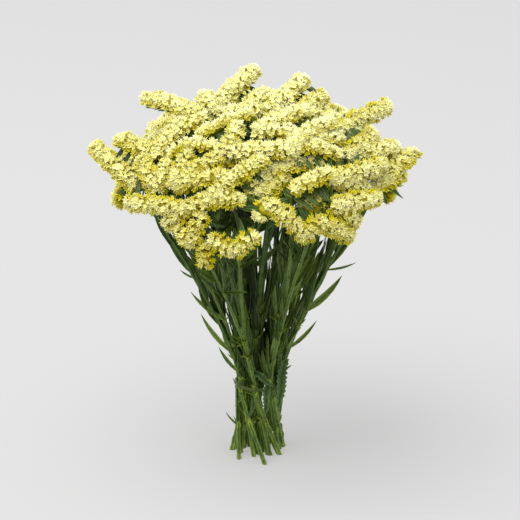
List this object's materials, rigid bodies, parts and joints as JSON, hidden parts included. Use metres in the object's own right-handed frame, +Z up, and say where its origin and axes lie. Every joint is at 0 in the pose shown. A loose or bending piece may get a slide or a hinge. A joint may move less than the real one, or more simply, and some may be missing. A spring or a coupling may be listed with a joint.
{
  "type": "standing bunch of statice",
  "caption": "Bunch of yellow statice that stands on its cut stem ends: winged green stems cross at a tied waist and spread into a dome of papery floret spikes.",
  "frame": {"origin": "middle of the bottom of the bunch's box, on the surface that the bunch stands on", "axes": "+Z up along the bunch, +X to the right and -Y to the front of the view in the picture"},
  "size_m": [0.4314, 0.4212, 0.5519],
  "materials": {
    "green_stems": "satin",
    "papery_florets": "matte",
    "tie_cord": "matte"
  },
  "bodies": {
    "root": {"head_01": "papery_florets", "head_02": "papery_florets", "head_03": "papery_florets", "head_04": "papery_florets", "head_05": "papery_florets", "head_06": "papery_florets", "head_07": "papery_florets", "head_08": "papery_florets", "head_09": "papery_florets", "head_10": "papery_florets", "head_11": "papery_florets", "head_12": "papery_florets", "head_13": "papery_florets", "head_14": "papery_florets", "head_15": "papery_florets", "head_16": "papery_florets", "head_17": "papery_florets", "head_18": "papery_florets", "head_19": "papery_florets", "head_20": "papery_florets", "head_21": "papery_florets", "head_22": "papery_florets", "head_23": "papery_florets", "head_24": "papery_florets", "head_25": "papery_florets", "head_26": "papery_florets", "head_27": "papery_florets", "head_28": "papery_florets", "head_29": "papery_florets", "head_30": "papery_florets", "head_31": "papery_florets", "head_32": "papery_florets", "head_33": "papery_florets", "head_34": "papery_florets", "head_35": "papery_florets", "head_36": "papery_florets", "head_37": "papery_florets", "head_38": "papery_florets", "head_39": "papery_florets", "head_40": "papery_florets", "head_41": "papery_florets", "head_42": "papery_florets", "head_43": "papery_florets", "head_44": "papery_florets", "head_45": "papery_florets", "stem_middle": "green_stems", "stems_01": "green_stems", "stems_02": "green_stems", "stems_03": "green_stems", "stems_04": "green_stems", "stems_05": "green_stems", "stems_06": "green_stems", "stems_07": "green_stems", "stems_08": "green_stems", "stems_09": "green_stems", "stems_10": "green_stems", "stems_11": "green_stems", "stems_12": "green_stems", "stems_13": "green_stems", "tie": "tie_cord"}
  },
  "joints": []
}
